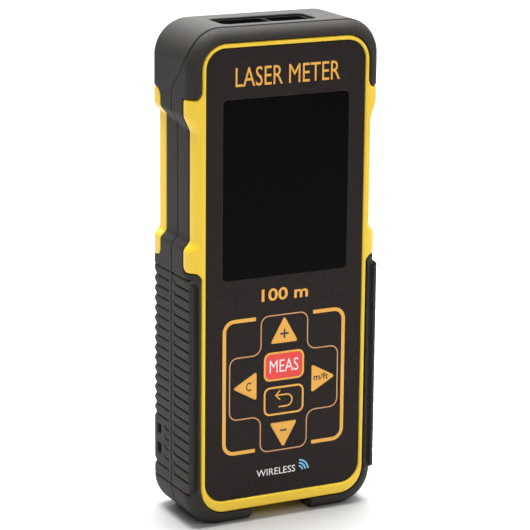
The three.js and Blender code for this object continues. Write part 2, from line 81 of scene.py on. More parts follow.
def noise(tree, scale, detail=4.0, rough=0.55):
    coord = tree.nodes.new("ShaderNodeTexCoord")
    texture = tree.nodes.new("ShaderNodeTexNoise")
    texture.inputs["Scale"].default_value = scale
    texture.inputs["Detail"].default_value = detail
    texture.inputs["Roughness"].default_value = rough
    tree.links.new(coord.outputs["Object"], texture.inputs["Vector"])
    return texture.outputs["Fac"]


def ramp(tree, source, low, high, start=0.3, end=0.7):
    node = tree.nodes.new("ShaderNodeValToRGB")
    node.color_ramp.elements[0].position = start
    node.color_ramp.elements[0].color = low
    node.color_ramp.elements[1].position = end
    node.color_ramp.elements[1].color = high
    tree.links.new(source, node.inputs["Fac"])
    return node.outputs["Color"]


def grain(tree, shader, source, strength, distance):
    node = tree.nodes.new("ShaderNodeBump")
    node.inputs["Strength"].default_value = strength
    node.inputs["Distance"].default_value = distance
    tree.links.new(source, node.inputs["Height"])
    tree.links.new(node.outputs["Normal"], shader.inputs["Normal"])


def surface(name, colour, rough, spread=0.06, patch=60.0, grit=2600.0, bump=0.25, metal=0.0,
            gleam=0.5):
    """A material whose colour and gloss wander a little and whose skin has a fine grain."""
    material = bpy.data.materials.new(name)
    material.use_nodes = True
    tree = material.node_tree
    shader = tree.nodes["Principled BSDF"]
    shader.inputs["Metallic"].default_value = metal
    shader.inputs["Specular IOR Level"].default_value = gleam
    wander = noise(tree, patch)
    shade = ramp(tree, wander, scaled(colour, 1 - spread), scaled(colour, 1 + spread))
    tree.links.new(shade, shader.inputs["Base Color"])
    gloss = ramp(tree, noise(tree, patch * 2.5), (rough - 0.04,) * 3 + (1,), (rough + 0.04,) * 3 + (1,))
    tree.links.new(gloss, shader.inputs["Roughness"])
    grain(tree, shader, noise(tree, grit, 2.0), bump, 0.00003)
    return material


def glass(name, colour, rough=0.1):
    return surface(name, colour, rough, spread=0.1, bump=0.02, gleam=0.04)


LOOKS = {
    "yellow_shell": surface("yellow_plastic", linear(250, 210, 58), 0.42, spread=0.02, bump=0.12,
                            gleam=0.4),
    "rubber_jacket": surface("rubber", linear(45, 42, 39), 0.66, spread=0.14, patch=900.0, grit=3000.0,
                             bump=0.5, gleam=0.3),
    "panel_film": surface("panel_film", linear(41, 35, 33), 0.6, spread=0.22, patch=1500.0, bump=0.3,
                          gleam=0.12),
    "screen_glass": glass("screen_glass", linear(7, 7, 8), 0.3),
    "black_plastic": surface("black_plastic", linear(28, 27, 27), 0.45),
    "key_print": surface("key_print", linear(243, 178, 72), 0.5, spread=0.03),
    "key_red": surface("key_red", linear(240, 66, 58), 0.45, spread=0.03),
    "key_dark": surface("key_dark", linear(44, 38, 35), 0.6, spread=0.22, patch=1500.0, gleam=0.12),
    "silicone": surface("silicone", linear(190, 186, 176), 0.6),
    "circuit_board": surface("circuit_board", linear(24, 92, 58), 0.45),
    "alloy": surface("alloy", linear(160, 163, 167), 0.38, metal=1.0, bump=0.3),
    "brass": surface("brass", linear(196, 156, 82), 0.3, metal=1.0),
    "steel": surface("steel", linear(190, 194, 199), 0.28, metal=1.0),
    "optical_glass": glass("optical_glass", linear(62, 84, 96)),
    "cell_wrap": surface("cell_wrap", linear(58, 62, 70), 0.35),
    "foam": surface("foam", linear(38, 38, 41), 0.9, bump=0.8),
    "label": surface("label_film", linear(188, 188, 184), 0.42, spread=0.03),
    "door_plastic": surface("door_plastic", linear(46, 43, 42), 0.6, bump=0.4),
    "orange_ink": surface("orange_ink", linear(243, 178, 72), 0.5, spread=0.03),
    "pale_ink": surface("pale_ink", linear(214, 158, 104), 0.5, spread=0.03),
    "white_ink": surface("white_ink", linear(238, 238, 238), 0.5, spread=0.02),
    "dark_ink": surface("dark_ink", linear(40, 34, 30), 0.5, spread=0.03),
    "blue_ink": surface("blue_ink", linear(120, 190, 225), 0.5, spread=0.03),
    "latch_plastic": surface("latch_plastic", linear(240, 208, 62), 0.42, spread=0.03),
    "tub_plastic": surface("tub_plastic", linear(15, 15, 15), 0.8, gleam=0.08),
}


def dress_cad():
    """Every CAD node takes its record slot's material and a small bevel on its sharp edges."""
    for row in frame["record"]["subparts"]:
        node = NODES[row["node"]]
        node.data.materials.clear()
        node.data.materials.append(LOOKS[row["material_slot"]])
        node.modifiers.new("weld", "WELD").merge_threshold = 0.002 * MM
        bevel = node.modifiers.new("edges", "BEVEL")
        bevel.width = 0.15 * MM
        bevel.segments = 2
        bevel.angle_limit = math.radians(35)


dress_cad()
NODES["aperture_tub"].data.materials[0] = LOOKS["tub_plastic"]


# ---------------------------------------------------------------- the outside surface
# Shells are drawn flat, as if the front or the back were a tray with its sides folded out:
# (x, z) on the tray's floor is the point itself, and beyond its rim the distance runs round the
# rounded edge and on along the side.
HALF, TALL = CAD_HIGH.x / MM, CAD_HIGH.z / MM
FRONT, BACK = CAD_LOW.y / MM, CAD_HIGH.y / MM
CORNER, EDGE = 10.0, 4.0
INNER = CORNER - EDGE
TURN = EDGE * math.pi / 2
WAIST = 1.9
FRONT_WAIST = (79.6, 81.75, 112.35, 116.35)
REAR_WAIST = (80.05, 81.65, 114.75, 116.75)
WAIST_FROM, WAIST_TO = -8.5, 6.55
SEAM = 0.15
PAD_LOW, PAD_HIGH, PAD_FADE, PAD_ROUND = 10.0, 71.6, 0.9, 0.8


def creases(y):
    """Heights of the four creases of the waist, at a depth y."""
    share = np.clip((y - WAIST_FROM) / (WAIST_TO - WAIST_FROM), 0, 1)
    return [a + (b - a) * share for a, b in zip(FRONT_WAIST, REAR_WAIST)]


def dent(z, y):
    """How far the waist pulls the side in, its creases a little rounded."""
    low, low_in, high_in, high = creases(y)
    total = 0
    for shift in (-0.45, -0.15, 0.15, 0.45):
        rise = np.clip((z + shift - low) / (low_in - low), 0, 1)
        fall = np.clip((high - z - shift) / (high - high_in), 0, 1)
        total = total + np.minimum(rise, fall)
    return WAIST * total / 4


def fold(y, back=False):
    """Distance beyond the tray's rim of a depth y on the sides."""
    depth = BACK - y if back else y - FRONT
    curved = EDGE * np.arccos(np.clip(1 - depth / EDGE, -1, 1))
    return np.where(depth < EDGE, curved, TURN + depth - EDGE)


def quarter(share):
    """A quarter circle of the rounded edge: (outward, inward) shares of its radius."""
    return np.sin(share * math.pi / 2), 1 - np.cos(share * math.pi / 2)


def squarer(share):
    """The same edge where the grip pad fills it out: flat, a small round, then flat."""
    r = PAD_ROUND / EDGE
    length = share * (2 * (1 - r) + r * math.pi / 2)
    angle = np.clip((length - 1 + r) / r, 0, math.pi / 2)
    out = np.minimum(length, 1 - r) + r * np.sin(angle)
    down = r * (1 - np.cos(angle)) + np.maximum(length - 1 + r - r * math.pi / 2, 0)
    return out, down


def pad_share(core_x, z):
    """1 over the grip pads' height on the straight sides, 0 elsewhere."""
    rise = np.clip((z - PAD_LOW) / PAD_FADE, 0, 1) * np.clip((PAD_HIGH - z) / PAD_FADE, 0, 1)
    rise = rise * rise * (3 - 2 * rise)
    return rise * (np.abs(core_x) > HALF - CORNER - 0.01)


def tray(flat, back=False):
    """Points in millimetres of the outside surface under tray coordinates (x, z)."""
    x, z = flat[:, 0], flat[:, 1]
    core = np.stack([np.clip(x, CORNER - HALF, HALF - CORNER), np.clip(z, CORNER, TALL - CORNER)], 1)
    away = flat - core
    reach = np.hypot(away[:, 0], away[:, 1])
    beyond = np.maximum(reach - INNER, 0)
    share = np.minimum(beyond / TURN, 1)
    out, down = quarter(share)
    if not back:
        out_pad, down_pad = squarer(share)
        pad = pad_share(core[:, 0], core[:, 1])
        out, down = out + (out_pad - out) * pad, down + (down_pad - down) * pad
    depth = EDGE * down + np.maximum(beyond - TURN, 0)
    y = BACK - depth if back else FRONT + depth
    run = (EDGE - dent(core[:, 1], y)) * out
    heading = away / np.maximum(reach, 1e-9)[:, None]
    out = np.where((beyond > 0)[:, None], core + heading * (INNER + run)[:, None], flat)
    return np.stack([out[:, 0], y, out[:, 1]], 1)


def rim(start=0.0, step=0.8):
    """Corner centres and outward headings all round the outline, from start at the foot and back."""
    def span(a, b):
        return np.linspace(a, b, max(2, int(abs(b - a) / step) + 1))
    side, low, high = HALF - CORNER, CORNER, TALL - CORNER
    rows = [(x, low, 0.0, -1.0) for x in span(start, side)]
    rows += [(side, low, math.sin(a), -math.cos(a)) for a in np.linspace(0, math.pi / 2, 20)]
    rows += [(side, z, 1.0, 0.0) for z in span(low, high)]
    rows += [(side, high, math.cos(a), math.sin(a)) for a in np.linspace(0, math.pi / 2, 20)]
    rows += [(x, high, 0.0, 1.0) for x in span(side, 0)]
    right = np.array(rows)
    left = right[::-1] * np.array([-1, 1, -1, 1])
    return np.vstack([right, left])


def joint_depth(z):
    """Depth of the line where the two rubber pieces meet, by height on the outline."""
    heights = [0, 123.2, 129.2, 134.0, 140.2]
    depths = [-1.15, -1.15, -7.75, -10.6, -10.3]
    return sum(np.interp(z + shift, heights, depths) for shift in np.linspace(-1.6, 1.6, 9)) / 9


def joint_line(start, back):
    rows = rim(start)
    height = rows[:, 1] + rows[:, 3] * CORNER
    shift = SEAM if back else -SEAM
    beyond = fold(joint_depth(height) + shift, back)
    return rows[:, :2] + rows[:, 2:] * (INNER + beyond)[:, None]


# ---------------------------------------------------------------- outlines
def arc(cx, cz, r, start, end, count=8):
    angles = np.radians(np.linspace(start, end, count))
    return [(cx + r * math.cos(a), cz + r * math.sin(a)) for a in angles]


def rounded(x0, x1, z0, z1, r, count=8):
    """A rounded rectangle, counter-clockwise."""
    return np.array(arc(x1 - r, z0 + r, r, -90, 0, count) + arc(x1 - r, z1 - r, r, 0, 90, count)
                    + arc(x0 + r, z1 - r, r, 90, 180, count) + arc(x0 + r, z0 + r, r, 180, 270, count))


def circle(cx, cz, r, count=28):
    return np.array(arc(cx, cz, r, 0, 360, count + 1)[:-1])


def hole(loop):
    return np.asarray(loop)[::-1]


def mirrored(loop):
    return (np.asarray(loop) * np.array([-1, 1]))[::-1]


def resampled(line, step, closed):
    """The same line with points no further apart than step."""
    line = np.asarray(line, float)
    ends = np.roll(line, -1, 0) if closed else line[1:]
    rows = []
    for a, b in zip(line, ends):
        length = float(np.hypot(*(b - a)))
        if length > 1e-6:
            count = max(1, math.ceil(length / step))
            rows += [a + (b - a) * i / count for i in range(count)]
    if not closed:
        rows.append(line[-1])
    return np.array(rows)


def moved_in(loop, distance):
    """A closed line moved to its left, into the material."""
    ahead = np.roll(loop, -1, 0) - loop
    ahead /= np.hypot(ahead[:, 0], ahead[:, 1])[:, None]
    left = np.stack([-ahead[:, 1], ahead[:, 0]], 1)
    both = left + np.roll(left, 1, 0)
    size = np.maximum((both ** 2).sum(1), 0.6)
    return loop + both * (2 * distance / size)[:, None]


def distance_to(points, line, closed):
    best = np.full(len(points), 1e9)
    ends = np.roll(line, -1, 0) if closed else line[1:]
    for a, b in zip(line, ends):
        d = b - a
        t = np.clip(((points - a) @ d) / max(float(d @ d), 1e-12), 0, 1)
        best = np.minimum(best, ((points - a - t[:, None] * d) ** 2).sum(1))
    return np.sqrt(best)


def within(points, loops):
    """Even-odd test of points against closed lines."""
    inside = np.zeros(len(points), bool)
    x, z = points[:, 0], points[:, 1]
    for loop in loops:
        for a, b in zip(loop, np.roll(loop, -1, 0)):
            if a[1] != b[1]:
                crosses = (a[1] > z) != (b[1] > z)
                inside ^= crosses & (x < (b[0] - a[0]) * (z - a[1]) / (b[1] - a[1]) + a[0])
    return inside


def capsule(line, radius, step):
    """A closed line at a distance round an open one."""
    line = resampled(line, step, False)
    ahead = np.gradient(line, axis=0)
    ahead /= np.hypot(ahead[:, 0], ahead[:, 1])[:, None]
    left = np.stack([-ahead[:, 1], ahead[:, 0]], 1) * radius
    first, last = (math.degrees(math.atan2(v[1], v[0])) for v in (left[0], left[-1]))
    nose = arc(*line[-1], radius, last, last - 180, 7)[1:-1]
    tail = arc(*line[0], radius, first + 180, first, 7)[1:-1]
    return np.array(list(line + left) + nose + list((line - left)[::-1]) + tail)


# ---------------------------------------------------------------- patches
ROUND = [(1 - math.cos(a), math.sin(a) - 1) for a in np.radians([0, 22.5, 45, 67.5, 90])]


def patch(name, loops, surface_at, lines=(), round_edge=0.3, grooves=(), step=0.7, fill=1.0,
          thick=1.8, flip=False, rows=()):
    """A closed shell over a flat region: rounded at its edges, with grooves pressed into it."""
    loops = [resampled(loop, step, True) for loop in loops]
    rings = [(loop, True) for loop in loops]
    rings += [(moved_in(loop, round_edge * away), True) for loop in loops for away, _ in ROUND[1:]]
    for line, profile in grooves:
        rings += [(capsule(line, away, step), True) for away, _ in profile]
    rings += [(resampled(line, step, False), False) for line in lines]
    low = np.min([loop.min(0) for loop in loops], 0)
    high = np.max([loop.max(0) for loop in loops], 0)
    xs, zs = (np.arange(low[i] + fill / 2, high[i], fill) for i in (0, 1))
    grid = np.stack(np.meshgrid(xs, zs), -1).reshape(-1, 2)
    grid[:, 0] += np.where(np.round((grid[:, 1] - low[1]) / fill) % 2, 0.25, -0.25) * fill
    loose = np.vstack([grid, *rows]) if len(rows) else grid
    loose = loose[within(loose, loops)]
    for line, closed in rings:
        near = (loose > line.min(0) - 0.45).all(1) & (loose < line.max(0) + 0.45).all(1)
        close = np.zeros(len(loose), bool)
        close[near] = distance_to(loose[near], line, closed) < 0.4 * min(step, fill)
        loose = loose[~close]
    points, edges = [], []
    for line, closed in rings:
        first = len(points)
        points += list(line)
        edges += [(first + i, first + i + 1) for i in range(len(line) - 1)]
        if closed:
            edges.append((first + len(line) - 1, first))
    points += list(loose)
    made = delaunay_2d_cdt([Vector(p) for p in points], edges, [], 0, 1e-4)
    flat = np.array([tuple(v) for v in made[0]])
    faces = np.array([f for f in made[2] if len(f) == 3])
    faces = faces[within(flat[faces].mean(1), loops)]
    used, faces = np.unique(faces, return_inverse=True)
    flat, faces = flat[used], faces.reshape(-1, 3)
    height = edge_height(flat, loops, round_edge)
    for line, profile in grooves:
        line = np.asarray(line, float)
        reach = profile[-1][0]
        near = (flat > line.min(0) - reach).all(1) & (flat < line.max(0) + reach).all(1)
        away = distance_to(flat[near], line, False)
        height[near] += np.interp(away, [p[0] for p in profile], [p[1] for p in profile])
    return closed_shell(name, flat, faces, height, surface_at, thick, flip)


def edge_height(flat, loops, radius):
    away = np.full(len(flat), 1e9)
    for loop in loops:
        away = np.minimum(away, distance_to(flat, loop, True))
    inset = radius - np.minimum(away, radius)
    return np.sqrt(np.maximum(radius ** 2 - inset ** 2, 0)) - radius


def closed_shell(name, flat, faces, height, surface_at, thick, flip):
    small = 0.02
    dx, dz = np.array([small, 0]), np.array([0, small])
    across = surface_at(flat + dx) - surface_at(flat - dx)
    along = surface_at(flat + dz) - surface_at(flat - dz)
    normal = np.cross(across, along)
    normal /= np.linalg.norm(normal, axis=1)[:, None]
    if flip:
        normal = -normal
    a, b, c = (flat[faces[:, i]] for i in range(3))
    turn = (b[:, 0] - a[:, 0]) * (c[:, 1] - a[:, 1]) - (b[:, 1] - a[:, 1]) * (c[:, 0] - a[:, 0])
    backward = (turn < 0) != flip
    faces[backward] = faces[backward][:, ::-1]
    outer = surface_at(flat) + normal * height[:, None]
    inner = surface_at(flat) - normal * thick
    count = len(flat)
    pairs = np.vstack([faces[:, [0, 1]], faces[:, [1, 2]], faces[:, [2, 0]]])
    key = {(int(p), int(q)) for p, q in pairs}
    border = [(p, q) for p, q in key if (q, p) not in key]
    walls = [(q, p, p + count, q + count) for p, q in sorted(border)]
    polygons = [tuple(f) for f in faces.tolist()]
    polygons += [tuple(f) for f in (faces[:, ::-1] + count).tolist()] + walls
    return mesh_object(name, np.vstack([outer, inner]), polygons)


def mesh_object(name, points, polygons, smooth=True):
    mesh = bpy.data.meshes.new(name)
    mesh.from_pydata([tuple(p) for p in np.asarray(points) * MM], [], polygons)
    mesh.validate()
    if smooth:
        mesh.shade_smooth()
    else:
        mesh.shade_flat()
    made = bpy.data.objects.new(name, mesh)
    bpy.context.scene.collection.objects.link(made)
    if smooth:
        mesh.set_sharp_from_angle(angle=math.radians(50))
        normals = made.modifiers.new("normals", "WEIGHTED_NORMAL")
        normals.keep_sharp = True
        normals.weight = 60
    return made


def finished(made, slot, body, *nodes):
    made.data.materials.append(LOOKS[slot])
    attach(made, body)
    if nodes:
        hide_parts(*nodes)
    return made


# ---------------------------------------------------------------- shells
GROOVE = [(0.08, -0.62), (0.2, -0.56), (0.3, -0.14), (0.45, -0.03), (0.7, 0.0)]
REAR_GROOVE = [(0.06, -0.5), (0.16, -0.44), (0.26, -0.1), (0.42, -0.02), (0.65, 0.0)]
SCALLOP = [(0.3, -0.5), (0.6, -0.32), (0.9, -0.14), (1.3, 0.0)]
LINE_GROOVE = [(0.06, -0.5), (0.18, -0.44), (0.28, -0.1), (0.5, 0.0)]
TROUGH = [(0.32, -1.05), (0.44, -0.88), (0.52, -0.2), (0.66, 0.0)]
BEZEL = {"half": 25.4, "low": 3.9, "high": 136.0, "r": 7.2}
LAND = {"low": 73.4, "high": 121.1, "end": -8.5, "fillet": 2.3, "corner": 0.8, "low_corner": 2.1}
EAR = {"low": 74.45, "high": 121.65, "end": 6.55, "corner": 2.6}
SIDE = HALF - EDGE
GRIP_FIRST = 13.55  # height of the lowest grip groove
GRIP_PITCH = 2.9
GRIP_COUNT = 20
FULL_LINES = (9.85, 71.45)  # heights of the full-length lines below and above the grip
PAD_CORNER = 3.9  # where the front grooves stop, past the start of the rounded edge
FULL_REACH = 15.4  # how far past that start the full-length lines run
SCALLOP_REACH = (1.9, 5.4)
STRAP_LOW, STRAP_HIGH = 15.5, 26.5  # heights between which the left rear grooves are short
STRAP_SLOTS = ((16.65, 19.8), (22.55, 25.35))
STRAP_DEPTHS = (5.95, 8.35)
SCREW_X, SCREW_HEIGHTS, SCREW_R = 21.6, (13.2, 127.4), 2.2
SIGHT_X, SIGHT_DEPTHS, SIGHT_R = (-16.3, 12.3), (3.55, -7.05), 2.0


def front_yellow_outline(grow=0.0):
    b, r, f = BEZEL["half"] + grow, BEZEL["r"] + grow, LAND["fillet"] - grow
    z0, z1 = BEZEL["low"] - grow, BEZEL["high"] + grow
    low, high = LAND["low"] - grow, LAND["high"] + grow
    end, c, d = SIDE + float(fold(LAND["end"])) + grow, LAND["corner"], LAND["low_corner"]
    right = arc(b - r, z0 + r, r, -90, 0, 14) + arc(b + f, low - f, f, 180, 90, 8)
    right += arc(end - d, low + d, d, -90, 0, 7) + arc(end - c, high - c, c, 0, 90, 6)
    right += arc(b + f, high + f, f, 270, 180, 8) + arc(b - r, z1 - r, r, 0, 90, 14)
    return np.vstack([right, mirrored(right)])


def crease_lines(back):
    lines = []
    for side in (-1, 1):
        for i in range(4):
            for shift in (-0.6, 0, 0.6):
                y = np.linspace(BACK, -1.5, 40) if back else np.linspace(FRONT, -1.0, 40)
                lines.append(np.stack([side * (SIDE + fold(y, back)), creases(y)[i] + shift], 1))
    return lines


def edge_rows(back):
    """Extra points round the rounded edge, in rows along it."""
    rows = rim()
    return [rows[:, :2] + rows[:, 2:] * (INNER + beyond) for beyond in np.linspace(0, TURN, 12)]


def short_hook(z):
    """A short groove between a strap slot and the joint, turned up at its rear end."""
    path = ((3.1, 0.9), (3.0, 0.25), (2.7, 0.0), (0.85, 0.0))
    return [(SIDE + float(fold(y, True)), z + lift) for y, lift in path]


def grip_lines(back):
    """Centre lines of the grip grooves on both sides, in tray coordinates."""
    lines = []
    for side in (-1, 1):
        for i in range(GRIP_COUNT):
            z = GRIP_FIRST + GRIP_PITCH * i
            if back:
                ends = [(SIDE + float(fold(12.95, True)), z), (SIDE + float(fold(0.85, True)), z)]
            else:
                stop = SIDE + float(fold(-2.85))
                ends = [(SIDE + PAD_CORNER, z), (stop - 0.4, z), (stop - 0.1, z + 0.2), (stop, z + 0.9)]
            if back and side < 0 and STRAP_LOW < z < STRAP_HIGH:
                ends = short_hook(z)
            lines.append(np.array(ends) * np.array([side, 1]))
    return lines


def full_lines(back):
    lines = []
    for side in (-1, 1):
        for z in FULL_LINES:
            start = 1.0 if back else PAD_CORNER
            lines.append(np.array([(side * (SIDE + start), z), (side * (SIDE + FULL_REACH), z)]))
    return lines


def back_tray(flat):
    return tray(flat, True)


def front_rubber():
    yellow = front_yellow_outline(2 * SEAM)
    foot = 9.4
    inner = np.vstack([[(-foot, yellow[0, 1])], yellow[::-1], [(foot, yellow[0, 1])]])
    loop = np.vstack([joint_line(9.9, False), inner])
    grooves = [(line, GROOVE) for line in grip_lines(False)]
    grooves += [(line, LINE_GROOVE) for line in full_lines(False)]
    for side in (-1, 1):
        line = [(2.7, 10.7), (2.0, 11.0), (1.72, 11.6), (1.72, 69.6), (2.0, 70.2), (2.7, 70.6)]
        line = [(side * (SIDE + x), z) for x, z in line]
        grooves.append((np.array(line), TROUGH))
    made = patch("front_rubber_jacket", [loop], tray, crease_lines(False), 0.3, grooves,
                 rows=edge_rows(False))
    finished(made, "rubber_jacket", "meter", "front_rubber")


def rear_rubber():
    top = 4 - float(fold(5.2, True))
    right = [(17.2, 28.65), (19.5, 28.65), (19.5, 25.1), (11.9, 25.1), (11.9, top), (9.9, top)]
    door = arc(-15.7, 71.7, 1.5, 180, 90) + arc(15.7, 71.7, 1.5, 90, 0)
    loop = np.vstack([joint_line(9.9, True), mirrored(right), door, right])
    g = 2 * SEAM
    side = SIDE + float(fold(EAR["end"] - g, True))
    loops = [loop, hole(rounded(-side, side, EAR["low"] - g, EAR["high"] + g, EAR["corner"] + g))]
    loops += [hole(circle(s * SCREW_X, z, SCREW_R)) for s in (-1, 1) for z in SCREW_HEIGHTS]
    sight_z = [TALL - EDGE + float(fold(y, True)) for y in SIGHT_DEPTHS]
    loops.append(hole(rounded(*SIGHT_X, *sight_z, SIGHT_R)))
    slot_x = [-SIDE - float(fold(y, True)) for y in STRAP_DEPTHS]
    for z0, z1 in STRAP_SLOTS:
        loops.append(hole(rounded(*slot_x, z0, z1, 0.35, 4)))
    grooves = [(line, REAR_GROOVE) for line in grip_lines(True)]
    for line in grip_lines(True):
        if len(line) > 2:
            continue
        side = math.copysign(1, line[0, 0])
        ends = [(side * (SIDE + reach), line[0, 1]) for reach in SCALLOP_REACH]
        grooves.append((np.array(ends), SCALLOP))
    grooves += [(line, LINE_GROOVE) for line in full_lines(True)]
    made = patch("rear_rubber_jacket", loops, back_tray, crease_lines(True), 0.3, grooves,
                 rows=edge_rows(True), flip=True)
    finished(made, "rubber_jacket", "meter", "rear_rubber")


def front_yellow():
    loops = [front_yellow_outline(), hole(rounded(-24.25, 24.25, 7.05, 134.75, 5.7, 12))]
    made = patch("front_bezel", loops, tray, crease_lines(False), 0.58, rows=edge_rows(False))
    finished(made, "yellow_shell", "meter")


def rear_yellow():
    side = SIDE + float(fold(EAR["end"], True))
    loops = [rounded(-side, side, EAR["low"], EAR["high"], EAR["corner"]),
             hole(rounded(-19.3, 19.3, 79.7, 112.3, 1.6))]
    made = patch("rear_band", loops, back_tray, crease_lines(True), 0.35, rows=edge_rows(True),
                 flip=True)
    finished(made, "yellow_shell", "meter")


def end_frame():
    low = 4 - float(fold(8.9, True))
    loop = [(11.6, low)] + arc(10.6, 23.9, 1, 0, 90, 5) + arc(-10.6, 23.9, 1, 90, 180, 5)
    loop += [(-11.6, low), (-9.8, low), (-9.8, 23.2), (9.8, 23.2), (9.8, low)]
    made = patch("end_frame", [np.array(loop)], back_tray, (), 0.3, rows=edge_rows(True), flip=True,
                 thick=1.5)
    finished(made, "yellow_shell", "meter")


def trim_housings():
    """The CAD housings stay in view, cut back to the core that the fine shells cover."""
    rows = rim(step=2.0)
    rings = []
    inset = 1.3
    for depth in np.linspace(inset, BACK - FRONT - inset, 30):
        y = FRONT + depth
        near = min(depth, BACK - FRONT - depth)
        slope = math.acos(min(max((EDGE - near) / (EDGE - inset), -1), 1)) if near < EDGE else math.pi / 2
        flare = (EDGE - inset) * math.sin(slope)
        pull = dent(rows[:, 1], y) * np.abs(rows[:, 2]) * math.sin(slope)
        out = rows[:, :2] + rows[:, 2:] * (INNER + flare - pull)[:, None]
        rings.append(np.stack([out[:, 0], np.full(len(out), y), out[:, 1]], 1))
    count = len(rows)
    faces = []
    for i in range(len(rings) - 1):
        for j in range(count):
            k = (j + 1) % count
            faces.append((i * count + j, i * count + k, (i + 1) * count + k, (i + 1) * count + j))
    last = (len(rings) - 1) * count
    faces.append(tuple(range(count))[::-1])
    faces.append(tuple(last + j for j in range(count)))
    core = mesh_object("housing_core", np.vstack(rings), faces, smooth=False)
    core.hide_render = True
    core.hide_viewport = True
    for name in ("front_housing", "rear_housing"):
        node = NODES[name]
        node.modifiers.clear()
        node.modifiers.new("weld", "WELD").merge_threshold = 0.002 * MM
        cut = node.modifiers.new("core", "BOOLEAN")
        cut.operation = "INTERSECT"
        cut.solver = "MANIFOLD"
        cut.object = core


front_rubber()
rear_rubber()
front_yellow()
rear_yellow()
end_frame()
trim_housings()


# ---------------------------------------------------------------- panel, window, keys and prints
PANEL_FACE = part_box("panel_overlay")[0].y / MM
PANEL_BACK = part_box("panel_overlay")[1].y / MM
INK = 0.03
ARROW_ROUND = 0.42
KEY_THICK = 0.3  # leaves a cap pressed by 0.5 mm 0.2 mm clear of the trimmed housing


def plane_at(y):
    return lambda flat: np.stack([flat[:, 0], np.full(len(flat), y), flat[:, 1]], 1)


def softened(corners, radius, count=6):
    """A polygon, counter-clockwise, with its corners rounded."""
    corners = np.asarray(corners, float)
    rows = []
    for before, corner, after in zip(np.roll(corners, 1, 0), corners, np.roll(corners, -1, 0)):
        a, b = before - corner, after - corner
        a, b = a / np.hypot(*a), b / np.hypot(*b)
        half = math.acos(np.clip(a @ b, -1, 1)) / 2
        centre = corner + (a + b) / np.hypot(*(a + b)) * radius / math.sin(half)
        start, end = corner + a * radius / math.tan(half), corner + b * radius / math.tan(half)
        first = math.atan2(*(start - centre)[::-1])
        turn = (math.atan2(*(end - centre)[::-1]) - first + math.pi) % (2 * math.pi) - math.pi
        for share in np.linspace(0, 1, count):
            angle = first + turn * share
            rows.append(centre + radius * np.array([math.cos(angle), math.sin(angle)]))
    return np.array(rows)


KEY_OUTLINES = {
    "key_measure": rounded(-6.3, 6.3, 40.1, 48.5, 2.0),
    "key_back": rounded(-6.3, 6.3, 30.05, 38.45, 2.0),
    "key_plus": softened([(-4.3, 50.95), (4.3, 50.95), (0, 58.6)], ARROW_ROUND),
    "key_minus": softened([(0, 20.35), (4.3, 27.85), (-4.3, 27.85)], ARROW_ROUND),
    "key_clear": softened([(-15.9, 39.35), (-8.5, 35.2), (-8.5, 43.5)], ARROW_ROUND),
    "key_unit": softened([(16.15, 39.35), (8.75, 43.5), (8.75, 35.2)], ARROW_ROUND),
}
KEY_BODIES = {name: name.replace("key_", "") + "_button" for name in KEY_OUTLINES}


def panel():
    loops = [rounded(-24.12, 24.12, 7.18, 134.62, 5.6, 12), hole(rounded(-19.15, 19.15, 70.5, 120.6, 1.3))]
    loops += [hole(moved_in(outline, -0.07)) for outline in KEY_OUTLINES.values()]
    made = patch("panel_film_sheet", loops, plane_at(PANEL_FACE), round_edge=0.1, step=1.5, fill=6,
                 thick=PANEL_BACK - PANEL_FACE)
    finished(made, "panel_film", "meter", "panel_overlay")


def window():
    low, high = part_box("display_window")
    outline = rounded(low.x / MM, high.x / MM, low.z / MM, high.z / MM, 1.2)
    made = patch("display_glass", [outline], plane_at(PANEL_FACE), round_edge=0.14, step=1.5, fill=6,
                 thick=(high.y - low.y) / MM)
    finished(made, "screen_glass", "meter", "display_window")


def key(name, outline):
    look = {"key_measure": "key_red", "key_back": "key_dark"}.get(name, "key_print")
    made = patch(name + "_cap", [outline], plane_at(PANEL_FACE), round_edge=0.08, step=0.6, fill=1.5,
                 thick=KEY_THICK)
    finished(made, look, KEY_BODIES[name], name)


def ink(name, loops, look, body, y=PANEL_FACE):
    made = patch(name, loops, plane_at(y - INK), round_edge=0, step=1.0, fill=40, thick=INK + 0.02)
    made.data.materials.append(LOOKS[look])
    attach(made, body)


def stroke(line, width):
    """A band of even width along an open line, with square ends."""
    line = np.asarray(line, float)
    ahead = np.gradient(line, axis=0)
    ahead /= np.hypot(ahead[:, 0], ahead[:, 1])[:, None]
    right = np.stack([ahead[:, 1], -ahead[:, 0]], 1) * width / 2
    return np.vstack([line + right, (line - right)[::-1]])


def key_rings():
    for name, body in (("key_measure", "measure_button"), ("key_back", "back_button")):
        outline = moved_in(KEY_OUTLINES[name], 0.03)
        ink(name + "_ring", [outline, hole(moved_in(outline, 0.55))], "orange_ink", body)


def cross_outline():
    a, b, c, d = 7.41, 17.05, 19.57, 59.28
    low, high = 30.13, 48.35
    corners = [(-a, c), (a, c), (a, low), (b, low), (b, high), (a, high), (a, d), (-a, d), (-a, high),
               (-b, high), (-b, low), (-a, low)]
    outline = softened(corners, 2.5, 8)
    ink("keypad_outline", [outline, hole(moved_in(outline, 0.33))], "pale_ink", "meter")


def brackets():
    for side, word in ((-1, "left"), (1, "right")):
        line = [(-8.9, 20.6)] + arc(-15.55, 23.6, 3.0, 270, 180, 10) + arc(-15.55, 55.75, 3.0, 180, 90, 10)
        line = np.array(line + [(-8.9, 58.75)])
        loop = stroke(line, 1.06)[::-1]
        if side > 0:
            loop = mirrored(loop)
        ink(f"bracket_{word}", [loop], "orange_ink", "meter")


def back_arrow():
    line = [(-2.4, 35.85)] + arc(0.9, 34.15, 1.7, 90, -90, 12) + [(-1.6, 32.45)]
    head = [(-1.15, 37.2), (-2.6, 35.85), (-1.15, 34.5)]
    for name, path in (("back_arrow_line", line), ("back_arrow_head", head)):
        ink(name, [stroke(path, 0.4)], "orange_ink", "back_button")


